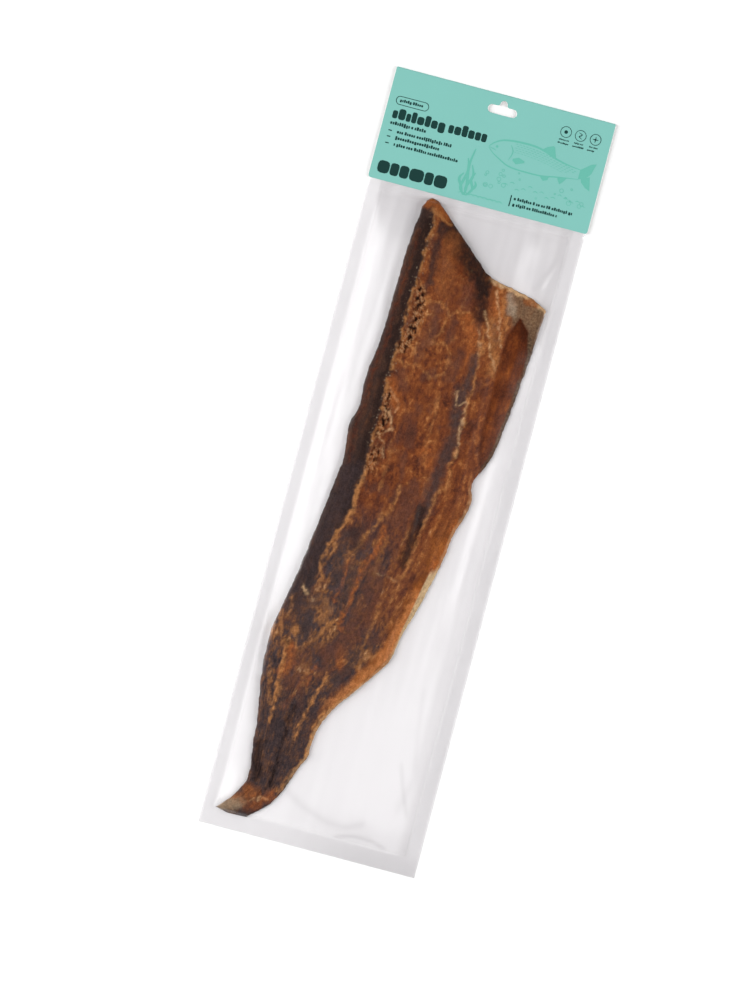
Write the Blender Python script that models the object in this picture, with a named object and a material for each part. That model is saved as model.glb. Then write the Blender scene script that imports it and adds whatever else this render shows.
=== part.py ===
"""A dried fish fillet in a flat clear pack that hangs from a folded header card.

The pack lies on its back: +X is to the right of the printed face, +Y runs along
the pack towards the card's fold, and +Z is up. The origin is the middle of the
pack's outline, on the surface that it lies on. Lengths are in metres.

Two solids make the pack: the sealed bag, out to the film's outer face and so
with the fillet's form under its front, and the card that is folded over the
bag's top. A hang slot goes through both.
"""

import math

import bpy
import numpy as np

MM = 0.001

# The whole pack.
PACK_LENGTH = 558.4 * MM
GAP = 0.3 * MM

# The card, folded over the top of the bag.
CARD_WIDTH = 162.0 * MM
CARD_DROP = 81.6 * MM
CARD_THICKNESS = 0.4 * MM
CARD_CORNER = 2.0 * MM
CARD_TOP_CUT = 0.6 * MM
FOLD_STEPS = 8

# The bag: flat seals all round a pouch.
BAG_WIDTH = 159.6 * MM
FILM = 0.4 * MM
SIDE_SEAL = 9.2 * MM
BOTTOM_SEAL = 12.6 * MM
TOP_SEAL_BELOW_CARD = 5.1 * MM
STEP_RUN = 9.0 * MM
CELL = 5.0 * MM
NOTCH_DEPTH = 1.4 * MM
NOTCH_WIDTH = 2.0 * MM
NOTCH_BELOW_CARD = 3.0 * MM

# The hang slot: a round-ended bar with a round bump in the middle of its top.
SLOT_BAR_LENGTH = 21.5 * MM
SLOT_BAR_HEIGHT = 6.1 * MM
SLOT_BELOW_TOP = 14.8 * MM
SLOT_BUMP_RADIUS = 2.6 * MM
SLOT_BUMP_RISE = 4.3 * MM
SLOT_BUMP_FILLET = 1.7 * MM
SLOT_ARC_STEPS = 11

# The fillet under the film. Each edge is (height above the bag's bottom, x) in
# millimetres, from the tail's tip up to the slanting cut behind the head.
LEFT_EDGE = (
    (11, -69), (24, -60.8), (40, -53.6), (64, -56.4), (96, -60.4), (128, -64.6),
    (150, -64.0), (200, -55.6), (240, -50.2), (274, -46.4), (300, -48.4), (318, -44.6),
    (338, -45.8), (372, -42.3), (430, -40.4), (460, -38.4), (474, -34.0),
)
RIGHT_EDGE = (
    (11, -50), (18, -40.5), (32, -29.2), (60, -17.6), (88, -13.8), (104, -6.0), (144, 22.0),
    (168, 27.4), (206, 37.6), (244, 44.0), (270, 50.4), (284, 47.8), (304, 55.8),
    (340, 60.8), (416, 66.8), (424, 48.4), (432, 21.6), (448, 2.6), (474, -30.0),
)
BODY_THICKNESS = 9.6 * MM
TAIL_THICKNESS = 5.4 * MM
TAIL_LENGTH = 150.0 * MM
BELLY_THINNING = 0.42
EDGE_ROUNDING = 0.22

# The film's drape over the fillet: its bulge for each millimetre of span, squared.
FILM_BULGE = 0.0009
DRAPE_PASSES = 900


def from_bottom(height):
    """The y of a line at this height above the pack's lower edge."""
    return height - PACK_LENGTH / 2


CARD_BOTTOM = PACK_LENGTH - CARD_DROP
FOLD_RADIUS = CARD_THICKNESS + GAP + FILM / 2
FLANGE_LIFT = CARD_THICKNESS + GAP
BAG_TOP = PACK_LENGTH - FOLD_RADIUS - GAP
POUCH_TOP = CARD_BOTTOM - TOP_SEAL_BELOW_CARD
POUCH_HALF = BAG_WIDTH / 2 - SIDE_SEAL
SLOT_Y = PACK_LENGTH - SLOT_BELOW_TOP + SLOT_BAR_HEIGHT / 2


def clear_scene():
    for item in list(bpy.data.objects):
        bpy.data.objects.remove(item)


def material(name, colour, roughness, alpha=1.0):
    made = bpy.data.materials.new(name)
    made.use_nodes = True
    shader = made.node_tree.nodes["Principled BSDF"]
    shader.inputs["Base Color"].default_value = (*colour, 1.0)
    shader.inputs["Roughness"].default_value = roughness
    shader.inputs["Metallic"].default_value = 0.0
    shader.inputs["Alpha"].default_value = alpha
    return made


def mesh_object(name, points, faces, look=None):
    mesh = bpy.data.meshes.new(name)
    mesh.from_pydata([tuple(map(float, p)) for p in points], [], faces)
    mesh.validate()
    made = bpy.data.objects.new(name, mesh)
    bpy.context.scene.collection.objects.link(made)
    if look:
        mesh.materials.append(look)
    return made


def prism(name, outline, low, high, axis="Z", look=None):
    """The outline, a loop of (u, v) turning left, swept from low to high along an axis."""
    place = {
        "Z": lambda u, v, w: (u, v, w),
        "X": lambda u, v, w: (w, u, v),
    }[axis]
    count = len(outline)
    points = [place(u, v, low) for u, v in outline]
    points += [place(u, v, high) for u, v in outline]
    faces = [tuple(reversed(range(count))), tuple(range(count, 2 * count))]
    for i in range(count):
        j = (i + 1) % count
        faces.append((i, j, j + count, i + count))
    return mesh_object(name, points, faces, look)


def arc(centre, radius, start, end, steps):
    """Points on an arc, from one angle in degrees to another."""
    angles = [math.radians(start + (end - start) * i / steps) for i in range(steps + 1)]
    return [
        (centre[0] + radius * math.cos(a), centre[1] + radius * math.sin(a)) for a in angles
    ]


def cut(target, cutter, operation="DIFFERENCE"):
    """Cuts with a guide that stays in the scene but isn't part of the pack."""
    modifier = target.modifiers.new(cutter.name, "BOOLEAN")
    modifier.operation = operation
    modifier.object = cutter
    cutter.hide_render = True
    cutter.display_type = "WIRE"


def slot_outline():
    """The hang slot seen from the front, turning left from its lower right."""
    end = SLOT_BAR_HEIGHT / 2
    reach = SLOT_BAR_LENGTH / 2 - end
    centre_y = from_bottom(SLOT_Y)
    top = centre_y + end
    bump_y = top + SLOT_BUMP_RISE - SLOT_BUMP_RADIUS
    fillet_y = top + SLOT_BUMP_FILLET
    reach_to_bump = SLOT_BUMP_RADIUS + SLOT_BUMP_FILLET
    fillet_x = math.sqrt(reach_to_bump**2 - (bump_y - fillet_y) ** 2)
    lean = math.degrees(math.atan2(fillet_y - bump_y, fillet_x))
    outline = arc((reach, centre_y), end, -90, 90, SLOT_ARC_STEPS)
    outline += arc((fillet_x, fillet_y), SLOT_BUMP_FILLET, 270, 180 + lean, 3)
    outline += arc((0, bump_y), SLOT_BUMP_RADIUS, lean, 180 - lean, SLOT_ARC_STEPS)[1:]
    outline += arc((-fillet_x, fillet_y), SLOT_BUMP_FILLET, -lean, -90, 3)[1:]
    outline += arc((-reach, centre_y), end, 90, 270, SLOT_ARC_STEPS)
    return outline


def card_section():
    """The folded card's section in (y, z): down the back, round the fold, down the front."""
    low = from_bottom(CARD_BOTTOM) - CARD_CORNER
    fold = (from_bottom(PACK_LENGTH) - FOLD_RADIUS, FOLD_RADIUS)
    outer = arc(fold, FOLD_RADIUS, -90, 90, FOLD_STEPS)
    inner = arc(fold, FOLD_RADIUS - CARD_THICKNESS, 90, -90, FOLD_STEPS)
    return [
        (low, 0),
        *outer,
        (low, 2 * FOLD_RADIUS),
        (low, 2 * FOLD_RADIUS - CARD_THICKNESS),
        *inner,
        (low, CARD_THICKNESS),
    ]


def card_outline():
    """The card from the front: a rectangle with slightly rounded corners."""
    right = CARD_WIDTH / 2 - CARD_CORNER
    low = from_bottom(CARD_BOTTOM) + CARD_CORNER
    high = from_bottom(PACK_LENGTH) + CARD_TOP_CUT - CARD_CORNER
    corners = ((right, low, -90), (right, high, 0), (-right, high, 90), (-right, low, 180))
    outline = []
    for x, y, start in corners:
        outline += arc((x, y), CARD_CORNER, start, start + 90, 4)
    return outline


def make_header_card(slot):
    look = material("header_card", (0.24, 0.56, 0.50), 0.55)
    half = CARD_WIDTH / 2 + CARD_CORNER
    card = prism("header_card", card_section(), -half, half, "X", look)
    trim = prism("card_trim", card_outline(), -5 * MM, 7 * MM)
    cut(card, trim, "INTERSECT")
    cut(card, slot)
    return card


def edge_x(edge, height):
    """The x of one edge of the fillet at these heights above the pack's lower edge."""
    stations = np.array(edge) * MM
    return np.interp(height, stations[:, 0], stations[:, 1])


def fillet_top(x, height):
    """How high the fillet's upper face stands: full along the back, thin at the belly."""
    left = edge_x(LEFT_EDGE, height)
    right = edge_x(RIGHT_EDGE, height)
    across = (x - left) / np.maximum(right - left, CELL)
    inside = (across > 0) & (across < 1)
    inside &= (height > LEFT_EDGE[0][0] * MM) & (height < LEFT_EDGE[-1][0] * MM)
    across = np.clip(across, 0, 1)
    along = np.clip(height / TAIL_LENGTH, 0, 1)
    thickness = TAIL_THICKNESS + (BODY_THICKNESS - TAIL_THICKNESS) * along
    crown = (4 * across * (1 - across)) ** EDGE_ROUNDING * (1 - BELLY_THINNING * across)
    return np.where(inside, thickness * crown, 0)


def drape(x, height):
    """The film's rise over the pouch's floor: taut from seal to seal, over the fillet."""
    body = fillet_top(x, height)
    pouch = (np.abs(x) < POUCH_HALF) & (height > BOTTOM_SEAL) & (height < POUCH_TOP)
    lift = FILM_BULGE * (CELL / MM) ** 2 / 4 * MM
    rise = body * pouch
    for _ in range(DRAPE_PASSES):
        mean = rise.copy()
        mean[1:-1, 1:-1] = (
            rise[:-2, 1:-1] + rise[2:, 1:-1] + rise[1:-1, :-2] + rise[1:-1, 2:]
        ) / 4
        rise = np.maximum(mean + lift, body) * pouch
    return rise


def lines(*stops):
    """Grid lines through the stops, evenly spaced between them, no wider than a cell."""
    found = [stops[0]]
    for start, end in zip(stops, stops[1:]):
        count = max(1, round((end - start) / CELL))
        found += [start + (end - start) * i / count for i in range(1, count + 1)]
    return np.array(found)


def make_sealed_bag(slot):
    look = material("clear_film", (0.86, 0.87, 0.88), 0.12, 0.35)
    half = BAG_WIDTH / 2
    across = lines(-half, -POUCH_HALF, POUCH_HALF, half)
    step_low = CARD_BOTTOM - STEP_RUN
    along = lines(0, BOTTOM_SEAL, step_low, POUCH_TOP, CARD_BOTTOM - GAP, BAG_TOP)
    x, height = np.meshgrid(across, along)
    run = np.clip((height - step_low) / (STEP_RUN - GAP), 0, 1)
    floor = FLANGE_LIFT * run * run * (3 - 2 * run)
    y = from_bottom(height)
    front = floor + FILM + drape(x, height)
    rows, columns = x.shape
    points = [*zip(x.flat, y.flat, floor.flat), *zip(x.flat, y.flat, front.flat)]
    over = rows * columns
    faces = []
    for r in range(rows - 1):
        for c in range(columns - 1):
            a = r * columns + c
            b = a + columns
            faces.append((a, b, b + 1, a + 1))
            faces.append((a + over, a + 1 + over, b + 1 + over, b + over))
    rim = [c for c in range(columns)]
    rim += [r * columns + columns - 1 for r in range(1, rows)]
    rim += [(rows - 1) * columns + c for c in range(columns - 2, -1, -1)]
    rim += [r * columns for r in range(rows - 2, 0, -1)]
    for a, b in zip(rim, rim[1:] + rim[:1]):
        faces.append((a, b, b + over, a + over))
    bag = mesh_object("sealed_bag", points, faces, look)
    bag.data.shade_smooth()
    cut(bag, slot)
    cut(bag, tear_notch())
    return bag


def tear_notch():
    """A small V in the right seal, just under the card."""
    x = BAG_WIDTH / 2
    y = from_bottom(CARD_BOTTOM - NOTCH_BELOW_CARD)
    out = x + MM
    mouth = NOTCH_WIDTH / 2 * (1 + MM / NOTCH_DEPTH)
    outline = [(x - NOTCH_DEPTH, y), (out, y - mouth), (out, y + mouth)]
    return prism("tear_notch", outline, -3 * MM, 5 * MM)


def main():
    clear_scene()
    slot = prism("hang_slot", slot_outline(), -5 * MM, 7 * MM)
    pack = bpy.data.objects.new("pack", None)
    bpy.context.scene.collection.objects.link(pack)
    for piece in (make_sealed_bag(slot), make_header_card(slot)):
        piece.parent = pack


main()
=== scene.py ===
"""The looks of a dried fish fillet in a clear pack with a folded header card.

Lengths here are in millimetres until a mesh is made. Places on the pack are
(x, height): x from the middle line, height from the pack's lower edge.
"""

import math

import bpy
import numpy as np
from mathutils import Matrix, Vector


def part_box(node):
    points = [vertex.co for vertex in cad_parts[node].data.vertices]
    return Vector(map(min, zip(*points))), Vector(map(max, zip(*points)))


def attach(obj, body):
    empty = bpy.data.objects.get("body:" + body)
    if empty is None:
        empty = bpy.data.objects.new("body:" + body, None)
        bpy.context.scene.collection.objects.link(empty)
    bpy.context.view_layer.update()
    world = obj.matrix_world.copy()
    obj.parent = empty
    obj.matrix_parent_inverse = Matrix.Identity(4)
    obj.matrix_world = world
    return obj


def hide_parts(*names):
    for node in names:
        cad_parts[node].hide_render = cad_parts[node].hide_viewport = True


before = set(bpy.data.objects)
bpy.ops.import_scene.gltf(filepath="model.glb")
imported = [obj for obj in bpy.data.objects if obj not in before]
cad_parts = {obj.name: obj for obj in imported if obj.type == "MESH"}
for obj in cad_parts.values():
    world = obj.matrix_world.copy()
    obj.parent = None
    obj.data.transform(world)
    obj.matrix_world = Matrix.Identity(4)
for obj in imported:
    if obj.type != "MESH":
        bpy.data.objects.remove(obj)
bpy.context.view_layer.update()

MM = 0.001

# Sizes that come from the frame.
BAG_LOW, BAG_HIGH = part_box("sealed_bag")
CARD_LOW, CARD_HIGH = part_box("header_card")
BOTTOM_Y = BAG_LOW.y / MM
PACK_LENGTH = (CARD_HIGH.y - BAG_LOW.y) / MM
BAG_HALF = BAG_HIGH.x / MM
CARD_BOTTOM = (CARD_LOW.y - BAG_LOW.y) / MM
CARD_FRONT = CARD_HIGH.z / MM
FILM_TOP = (BAG_HIGH.y - BAG_LOW.y) / MM

# The pouch and its seals.
SIDE_SEAL, BOTTOM_SEAL, TOP_SEAL_BELOW_CARD = 9.2, 12.6, 5.1
POUCH_TOP = CARD_BOTTOM - TOP_SEAL_BELOW_CARD
POUCH_HALF = BAG_HALF - SIDE_SEAL
FILM_CELL = 1.6
FILM_CLEARANCE = 0.2
BACK_SHEET, FRONT_SHEET = 0.06, 0.28
STEP_INTO_CARD = 0.72
# How much the air in the pouch bends the film up, and how its shape is found: first on a
# grid with cells a few times as large, then on the film's own.
PUFF = 0.0007
COARSE = 4
COARSE_PASSES, FINE_PASSES = 700, 500
NOTCH_DEPTH, NOTCH_BELOW_CARD = 1.4, 3.0
SLOT_BELOW_FOLD = 9.4
SLOT_CLEAR_X, SLOT_CLEAR_H = 13, 8.5


def smooth(low, high, value):
    """0 below low, 1 above high and a smooth climb between them."""
    part = np.clip((value - low) / (high - low), 0, 1)
    return part * part * (3 - 2 * part)


# ---------------------------------------------------------------- noise


def corner_value(ix, iy, seed):
    """A repeatable number from 0 to 1 for each whole-numbered grid corner."""
    mixed = (ix * 374761393 + iy * 668265263 + seed * 974634777) & 0xFFFFFFFF
    mixed = ((mixed ^ (mixed >> 13)) * 1274126177) & 0xFFFFFFFF
    return ((mixed ^ (mixed >> 16)) & 0xFFFF) / 65535


def noise(x, y, seed):
    """Gradient noise, about -1 to 1, with a cell of 1."""
    ix, iy = np.floor(x).astype(np.int64), np.floor(y).astype(np.int64)
    fx, fy = x - ix, y - iy
    sx = fx * fx * fx * (fx * (fx * 6 - 15) + 10)
    sy = fy * fy * fy * (fy * (fy * 6 - 15) + 10)
    total = 0
    for cx, wx in ((0, 1 - sx), (1, sx)):
        for cy, wy in ((0, 1 - sy), (1, sy)):
            angle = corner_value(ix + cx, iy + cy, seed) * 2 * math.pi
            slope = np.cos(angle) * (fx - cx) + np.sin(angle) * (fy - cy)
            total = total + slope * wx * wy
    return total * 1.5


def layered(x, y, seed, octaves=3, keep=0.5):
    """Noise with finer noise added, each octave keeping this share of the last one's strength."""
    total, most = 0, 0
    for k in range(octaves):
        total = total + noise(x * 2**k, y * 2**k, seed + 17 * k) * keep**k
        most += keep**k
    return total / most**0.5


def from_path(x, y, path):
    """The distance from a line of points, and the share of the way along it."""
    path = np.array(path, float)
    lengths = np.hypot(*np.diff(path, axis=0).T)
    nearest = np.full(np.shape(x), 1e9)
    along = np.zeros(np.shape(x))
    done = 0.0
    for (ax, ay), (bx, by), length in zip(path, path[1:], lengths):
        dx, dy = bx - ax, by - ay
        part = np.clip(((x - ax) * dx + (y - ay) * dy) / length**2, 0, 1)
        away = np.hypot(x - ax - part * dx, y - ay - part * dy)
        closer = away < nearest
        nearest = np.where(closer, away, nearest)
        along = np.where(closer, (done + part * length) / lengths.sum(), along)
        done += length
    return nearest, along


def band(x, y, path, width, soft):
    """1 within half the width of a line of points, falling to 0 over the soft edge."""
    away, _ = from_path(x, y, path)
    return 1 - smooth(width / 2 - soft / 2, width / 2 + soft / 2, away)


def curve(stations, value):
    """A smooth curve through a few (value, result) stations."""
    knots = np.array(stations, float)
    t, p = knots[:, 0], knots[:, 1]
    slope = np.gradient(p, t)
    steps = np.diff(p) / np.diff(t)
    flat = np.sign(steps[1:]) != np.sign(steps[:-1])
    slope[1:-1][flat] = 0
    k = np.clip(np.searchsorted(t, value) - 1, 0, len(t) - 2)
    span = t[k + 1] - t[k]
    s = np.clip((value - t[k]) / span, 0, 1)
    a = (1 + 2 * s) * (1 - s) ** 2
    b = s * (1 - s) ** 2
    c = s * s * (3 - 2 * s)
    d = s * s * (s - 1)
    return a * p[k] + b * span * slope[k] + c * p[k + 1] + d * span * slope[k + 1]


# ---------------------------------------------------------------- meshes and nodes


def place(points):
    """Pack millimetres to the frame's metres."""
    points = np.asarray(points, float)
    return (points + (0, BOTTOM_Y, 0)) * MM


def in_scene(name, data):
    """A new object in the scene."""
    thing = bpy.data.objects.new(name, data)
    bpy.context.scene.collection.objects.link(thing)
    return thing


def mesh_piece(name, points, faces, material, smooth_shaded=True):
    mesh = bpy.data.meshes.new(name)
    mesh.from_pydata(place(points).tolist(), [], faces)
    mesh.validate()
    mesh.materials.append(material)
    if smooth_shaded:
        mesh.shade_smooth()
    return in_scene(name, mesh)


def paint(piece, name, values):
    """Stores a number, or a colour, for each vertex, for the material to read."""
    values = np.asarray(values, np.float32)
    if values.ndim == 1:
        layer = piece.data.attributes.new(name, "FLOAT", "POINT")
        layer.data.foreach_set("value", values)
    else:
        layer = piece.data.attributes.new(name, "FLOAT_COLOR", "POINT")
        with_alpha = np.ones((len(values), 4), np.float32)
        with_alpha[:, :3] = values
        layer.data.foreach_set("color", with_alpha.ravel())


def linear(red, green, blue):
    """A screen colour from 0 to 255 as linear light."""
    share = np.array((red, green, blue)) / 255
    return np.where(share <= 0.04045, share / 12.92, ((share + 0.055) / 1.055) ** 2.4)


class Nodes:
    """A material and a short way to write its nodes."""

    def __init__(self, name):
        self.material = bpy.data.materials.new(name)
        self.material.use_nodes = True
        self.tree = self.material.node_tree
        self.shader = self.tree.nodes["Principled BSDF"]
        self.output = self.tree.nodes["Material Output"]

    def put(self, socket, value):
        """Links a socket to another node's output, or sets the socket's own value."""
        if isinstance(value, bpy.types.NodeSocket):
            self.tree.links.new(value, socket)
        else:
            socket.default_value = value

    def set(self, **values):
        """Sets or links the Principled node's inputs, with _ for a space."""
        for key, value in values.items():
            self.put(self.shader.inputs[key.replace("_", " ")], value)

    def add(self, kind, inputs, output=0, **settings):
        """One output of a new node, whose inputs, by name or number, are set or linked."""
        node = self.tree.nodes.new("ShaderNode" + kind)
        for key, value in settings.items():
            setattr(node, key, value)
        for key, value in inputs.items():
            self.put(node.inputs[key], value)
        return node.outputs[output]

    def millimetres(self, scale=(1, 1, 1)):
        """Object coordinates in millimetres, stretched by a scale."""
        where = self.add("TexCoord", {}, "Object")
        return self.add("Mapping", {"Scale": [s / MM for s in scale], "Vector": where})

    def noise(self, where, scale, detail=3.0, roughness=0.55):
        inputs = {"Vector": where, "Scale": scale, "Detail": detail, "Roughness": roughness}
        return self.add("TexNoise", inputs)

    def attribute(self, name, output="Fac"):
        return self.add("Attribute", {}, output, attribute_name=name)

    def spread(self, value, low, high, to_low=0.0, to_high=1.0):
        """Maps a value's range from low to high to another range."""
        return self.add("MapRange", {0: value, 1: low, 2: high, 3: to_low, 4: to_high})

    def maths(self, operation, a, b):
        return self.add("Math", {0: a, 1: b}, operation=operation)

    def mix(self, share, a, b, blend="MIX"):
        return self.add("Mix", {0: share, 6: a, 7: b}, 2, data_type="RGBA", blend_type=blend)

    def mix_shaders(self, share, a, b):
        return self.add("MixShader", {0: share, 1: a, 2: b})

    def bump(self, height, strength, distance, **normal):
        """A bumpy surface's normal, over another bump's if its Normal is given."""
        inputs = {"Strength": strength, "Distance": distance, "Height": height, **normal}
        return self.add("Bump", inputs)


# ---------------------------------------------------------------- the fillet

FILLET_BASE, EDGE_THICKNESS, LEAST_THICKNESS = 0.35, 0.5, 0.3
MEAN_WIDTH, MEAN_LENGTH, LENGTH_ON_LEFT = 90, 445, 462
TAIL_THICKNESS, THICKER_BODY, THINNER_BELLY = 3.1, 2.7, 0.62
LEFT_ROUND, RIGHT_ROUND, TAIL_ROUND, HEAD_ROUND = 5, 3, 6, 3.5
# What turns the photo's colours into the flesh's own under this stage's light.
FLESH_EXPOSURE = (1.01, 0.92, 0.77)
# The mesh's cells across the upper face, across the underside and along the fillet.
ACROSS, UNDER, ALONG = 140, 26, 520

# The outline: the two long edges as (height, x), and the tail's and the head cut's ends.
LEFT_EDGE = (
    (13.3, -70.3), (18, -66), (24, -60.8), (32, -56.4), (40, -53.7), (50, -54.2),
    (64, -56.4), (80, -57.6), (96, -60.4), (112, -63.2), (128, -64.5), (146, -64.6),
    (160, -62.4), (176, -59.4), (200, -55.6), (224, -52.4), (240, -50.2), (256, -48.6),
    (276, -46.2), (288, -47), (302, -48.5), (318, -44.6), (334, -45.8), (350, -44.5),
    (366, -42.4), (400, -41.4), (440, -40.3), (458, -38.6), (466, -37.8), (471.5, -35.6),
)
RIGHT_EDGE = (
    (11.6, -48), (16, -42.8), (24, -34.4), (32, -29.2), (40, -25.6), (48, -22.8),
    (56, -20), (64, -16.2), (72, -16), (80, -15.2), (88, -13.6), (96, -10.2),
    (104, -5.8), (120, 6), (136, 17), (144, 22.2), (152, 24.4), (168, 27.4),
    (184, 32), (200, 36), (216, 39.6), (232, 42.4), (240, 43), (256, 47.4),
    (266, 50.2), (272, 50.3), (281, 47.6), (288, 48.6), (296, 53), (304, 55.8),
    (328, 59.6), (352, 62), (384, 64.8), (408, 66.4), (416.5, 66.8),
)
TAIL_END = ((0, -70.3, 13.3), (0.5, -60, 11.2), (1, -48, 11.6))
HEAD_CUT = (
    (0, -35.6, 471.5), (0.06, -31.5, 473.8), (0.13, -26, 471.3), (0.24, -14, 460.6),
    (0.38, -1, 449.2), (0.52, 11.5, 438), (0.61, 20.5, 430.3), (0.7, 30, 427.4),
    (0.8, 42, 425.2), (0.91, 57, 421.4), (1, 66.8, 416.5),
)


def edge_at(stations, height):
    """The x of a long edge at these heights."""
    return curve(stations, np.clip(height, stations[0][0], stations[-1][0]))


def side(stations, share):
    """Points on a long edge, the share of the way up it."""
    low, high = stations[0][0], stations[-1][0]
    height = low + (high - low) * share
    return np.stack([curve(stations, height), height], -1)


def end(stations, share):
    """Points on a short edge, the share of the way across it."""
    x = curve([(s, x) for s, x, _ in stations], share)
    height = curve([(s, h) for s, _, h in stations], share)
    return np.stack([x, height], -1)


def fillet_patch(across, along):
    """(x, height) of the patch that the four edges bound, at these shares."""
    u, v = across[..., None], along[..., None]
    left, right = side(LEFT_EDGE, along), side(RIGHT_EDGE, along)
    tail, head = end(TAIL_END, across), end(HEAD_CUT, across)
    corners = (1 - u) * (1 - v) * left[0, 0] + u * (1 - v) * right[0, -1]
    corners = corners + (1 - u) * v * left[-1, 0] + u * v * right[-1, -1]
    both = (1 - u) * left + u * right + (1 - v) * tail + v * head - corners
    return both[..., 0], both[..., 1]


# Colours of the dried flesh.
BLACK = linear(37, 25, 24)
DARK = linear(56, 43, 44)
BLUE_GREY = linear(66, 55, 58)
SLATE = linear(68, 61, 70)
INDIGO = linear(56, 48, 55)
PURPLE = linear(92, 60, 52)
RED = linear(96, 44, 20)
BROWN = linear(140, 86, 50)
ORANGE = linear(158, 92, 48)
SALMON = linear(184, 124, 80)
TAN = linear(170, 120, 76)
CREAM = linear(206, 174, 138)
GREY = linear(128, 108, 90)
TIP_GREY = linear(150, 134, 118)
# Pale silver for the skin's scales, also used for painted highlights on the flesh.
SILVER_AND_HIGHLIGHT = linear(158, 146, 134)
PALE_SKIN = linear(198, 178, 148)
SPECK = linear(190, 150, 110)

# How the tissue runs from its darkest to its palest in each zone: a value and a screen colour.
UPPER_FLESH = (
    (0.0, 62, 34, 27), (0.28, 94, 51, 35), (0.5, 118, 66, 38),
    (0.7, 142, 88, 52), (0.86, 172, 121, 78), (1.0, 206, 166, 124),
)
LOWER_FLESH = (
    (0.0, 38, 34, 41), (0.28, 62, 53, 59), (0.48, 90, 65, 56),
    (0.64, 120, 82, 56), (0.82, 156, 114, 80), (1.0, 198, 164, 130),
)
DORSAL_FLESH = (
    (0.0, 40, 33, 36), (0.45, 58, 44, 42), (0.7, 80, 53, 42),
    (0.88, 110, 74, 50), (1.0, 150, 110, 78),
)
SMOOTH_FLESH = (
    (0.0, 66, 28, 10), (0.4, 92, 44, 18), (0.7, 122, 64, 26),
    (1.0, 164, 100, 50),
)
BELLY_FLESH = (
    (0.0, 92, 52, 30), (0.4, 130, 76, 38), (0.7, 160, 98, 50),
    (1.0, 194, 134, 80),
)

# The seam between the back's dark strip and the flesh, as (x, height) points.
DORSAL_SEAM = (
    (-28, 470), (-27, 456), (-28, 430), (-28.5, 400), (-28.5, 376), (-29.5, 350), (-29, 320),
    (-29.5, 290), (-28, 272), (-30.5, 259), (-30, 242), (-35, 230), (-41, 214), (-43.5, 197),
    (-46, 180), (-50, 162),
)
# The stretches where it has torn: strength, width, softness, and points.
TORN = (
    (1.0, 7, 4, (-23, 407), (-22, 396), (-20, 386), (-23, 374), (-26, 364)),
    (1.0, 5, 5, (-27, 330), (-25, 318), (-26, 300)),
    (0.7, 7, 5, (-24, 290), (-26, 276)),
)
# The left edge and the top point of the belly wall.
WALL_EDGE = ((50, 407), (44, 391), (43.5, 370), (44, 345), (44, 322), (46, 306), (50, 295))
WALL_TOP = (50.5, 407)

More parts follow.
